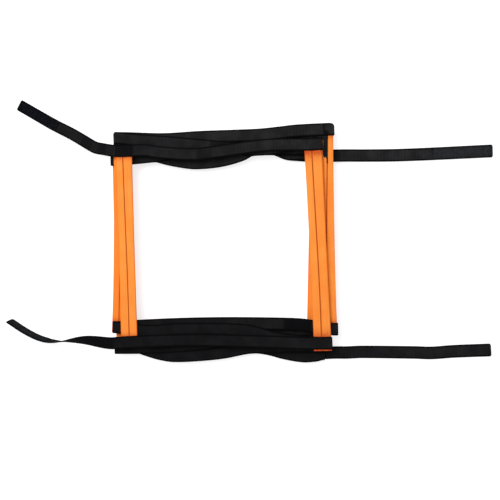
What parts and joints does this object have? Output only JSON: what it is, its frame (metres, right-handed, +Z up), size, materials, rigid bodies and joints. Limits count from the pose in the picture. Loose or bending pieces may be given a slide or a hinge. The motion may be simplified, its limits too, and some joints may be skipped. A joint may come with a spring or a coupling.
{
  "type": "agility ladder",
  "caption": "Flat agility ladder of stiff rungs on two webbing straps, laid back and forth in a pile with its end tails out.",
  "frame": {"origin": "middle of the box at the floor, with the tails at rest", "axes": "+X along the straps, towards the two right tails; +Y along the rungs, towards the upper strap; +Z up"},
  "size_m": [1.0244, 0.5676, 0.0424],
  "materials": {
    "sleeve": "woven orange sleeve, matte",
    "slat": "pale extruded plastic",
    "webbing": "black ribbed webbing",
    "tail_webbing": "black ribbed webbing with sewn hook or loop tape"
  },
  "bodies": {
    "base": {"rung_09_sleeve": "sleeve", "rung_09_slat": "slat", "rung_10_sleeve": "sleeve", "rung_10_slat": "slat", "strap_upper_9": "webbing", "strap_lower_9": "webbing", "fold_upper_8": "webbing", "fold_lower_8": "webbing"},
    "layer_8": {"strap_upper_8": "webbing", "strap_lower_8": "webbing"},
    "layer_7": {"strap_upper_7": "webbing", "strap_lower_7": "webbing", "rung_07_sleeve": "sleeve", "rung_07_slat": "slat", "rung_08_sleeve": "sleeve", "rung_08_slat": "slat", "fold_upper_6": "webbing", "fold_lower_6": "webbing", "fold_upper_7": "webbing", "fold_lower_7": "webbing"},
    "layer_6": {"strap_upper_6": "webbing", "strap_lower_6": "webbing"},
    "layer_5": {"strap_upper_5": "webbing", "strap_lower_5": "webbing", "rung_05_sleeve": "sleeve", "rung_05_slat": "slat", "rung_06_sleeve": "sleeve", "rung_06_slat": "slat", "fold_upper_4": "webbing", "fold_lower_4": "webbing", "fold_upper_5": "webbing", "fold_lower_5": "webbing"},
    "layer_4": {"strap_upper_4": "webbing", "strap_lower_4": "webbing"},
    "layer_3": {"strap_upper_3": "webbing", "strap_lower_3": "webbing", "rung_03_sleeve": "sleeve", "rung_03_slat": "slat", "rung_04_sleeve": "sleeve", "rung_04_slat": "slat", "fold_upper_2": "webbing", "fold_lower_2": "webbing", "fold_upper_3": "webbing", "fold_lower_3": "webbing"},
    "layer_2": {"strap_upper_2": "webbing", "strap_lower_2": "webbing"},
    "layer_1": {"strap_upper_1": "webbing", "strap_lower_1": "webbing", "rung_01_sleeve": "sleeve", "rung_01_slat": "slat", "rung_02_sleeve": "sleeve", "rung_02_slat": "slat", "fold_upper_1": "webbing", "fold_lower_1": "webbing"},
    "root_left_upper": {"root_left_upper": "webbing"},
    "tail_left_upper": {"tail_left_upper": "tail_webbing"},
    "tail_right_upper": {"tail_right_upper": "tail_webbing"},
    "root_left_lower": {"root_left_lower": "webbing"},
    "tail_left_lower": {"tail_left_lower": "tail_webbing"},
    "tail_right_lower": {"tail_right_lower": "tail_webbing"}
  },
  "joints": [
    {"name": "fold_8", "type": "hinge", "parent": "base", "child": "layer_8", "pos_m": [-0.25829, -0.04885, 0.00685], "axis": [0.0227, -0.9997, 0], "range_deg": [0, 180], "deforming": ["fold_upper_8", "fold_lower_8"]},
    {"name": "fold_7", "type": "hinge", "parent": "layer_8", "child": "layer_7", "pos_m": [0.18496, -0.05933, 0.0113], "axis": [0.0209, 0.9998, 0], "range_deg": [0, 180], "deforming": ["fold_upper_7", "fold_lower_7"]},
    {"name": "fold_6", "type": "hinge", "parent": "layer_7", "child": "layer_6", "pos_m": [-0.25779, -0.04882, 0.01575], "axis": [0.0209, -0.9998, 0], "range_deg": [0, 180], "deforming": ["fold_upper_6", "fold_lower_6"]},
    {"name": "fold_5", "type": "hinge", "parent": "layer_6", "child": "layer_5", "pos_m": [0.19016, -0.04364, 0.0202], "axis": [0.0087, 1, 0], "range_deg": [0, 180], "deforming": ["fold_upper_5", "fold_lower_5"]},
    {"name": "fold_4", "type": "hinge", "parent": "layer_5", "child": "layer_4", "pos_m": [-0.26328, -0.05695, 0.02465], "axis": [0.0227, -0.9997, 0], "range_deg": [0, 180], "deforming": ["fold_upper_4", "fold_lower_4"]},
    {"name": "fold_3", "type": "hinge", "parent": "layer_4", "child": "layer_3", "pos_m": [0.20456, -0.0067, 0.0291], "axis": [-0.0192, 0.9998, 0], "range_deg": [0, 180], "deforming": ["fold_upper_3", "fold_lower_3"]},
    {"name": "fold_2", "type": "hinge", "parent": "layer_3", "child": "layer_2", "pos_m": [-0.25829, -0.01171, 0.03355], "axis": [-0.007, -1, 0], "range_deg": [0, 180], "deforming": ["fold_upper_2", "fold_lower_2"]},
    {"name": "fold_1", "type": "hinge", "parent": "layer_2", "child": "layer_1", "pos_m": [0.18784, -0.03354, 0.038], "axis": [-0.0489, 0.9988, 0], "range_deg": [0, 180], "deforming": ["fold_upper_1", "fold_lower_1"]},
    {"name": "root_left_upper", "type": "hinge", "parent": "layer_1", "child": "root_left_upper", "pos_m": [-0.25491, 0.15997, 0.0426], "axis": [0.108, 0.9942, 0], "range_deg": [0, 12]},
    {"name": "lift_left_upper", "type": "hinge", "parent": "root_left_upper", "child": "tail_left_upper", "pos_m": [-0.27958, 0.16435, 0.04161], "axis": [0.1896, 0.9819, 0], "range_deg": [0, 150]},
    {"name": "root_left_lower", "type": "hinge", "parent": "layer_1", "child": "root_left_lower", "pos_m": [-0.24224, -0.24293, 0.0426], "axis": [-0.0837, 0.9965, 0], "range_deg": [0, 12]},
    {"name": "lift_left_lower", "type": "hinge", "parent": "root_left_lower", "child": "tail_left_lower", "pos_m": [-0.26721, -0.24468, 0.04165], "axis": [0.0311, 0.9988, 0.0373], "range_deg": [0, 150]},
    {"name": "lift_right_upper", "type": "hinge", "parent": "base", "child": "tail_right_upper", "pos_m": [0.21803, 0.1433, 0.007], "axis": [0, -1, 0], "range_deg": [0, 90]},
    {"name": "lift_right_lower", "type": "hinge", "parent": "base", "child": "tail_right_lower", "pos_m": [0.21803, -0.2567, 0.007], "axis": [0, -1, 0], "range_deg": [0, 90]}
  ],
  "couplings": [
    {"joint": "fold_7", "follows": "fold_8", "ratio": 1},
    {"joint": "fold_6", "follows": "fold_8", "ratio": 1},
    {"joint": "fold_5", "follows": "fold_8", "ratio": 1},
    {"joint": "fold_4", "follows": "fold_8", "ratio": 1},
    {"joint": "fold_3", "follows": "fold_8", "ratio": 1},
    {"joint": "fold_2", "follows": "fold_8", "ratio": 1},
    {"joint": "fold_1", "follows": "fold_8", "ratio": 1},
    {"joint": "root_left_upper", "follows": "fold_8", "ratio": 0.0515},
    {"joint": "root_left_lower", "follows": "fold_8", "ratio": 0.0515}
  ]
}
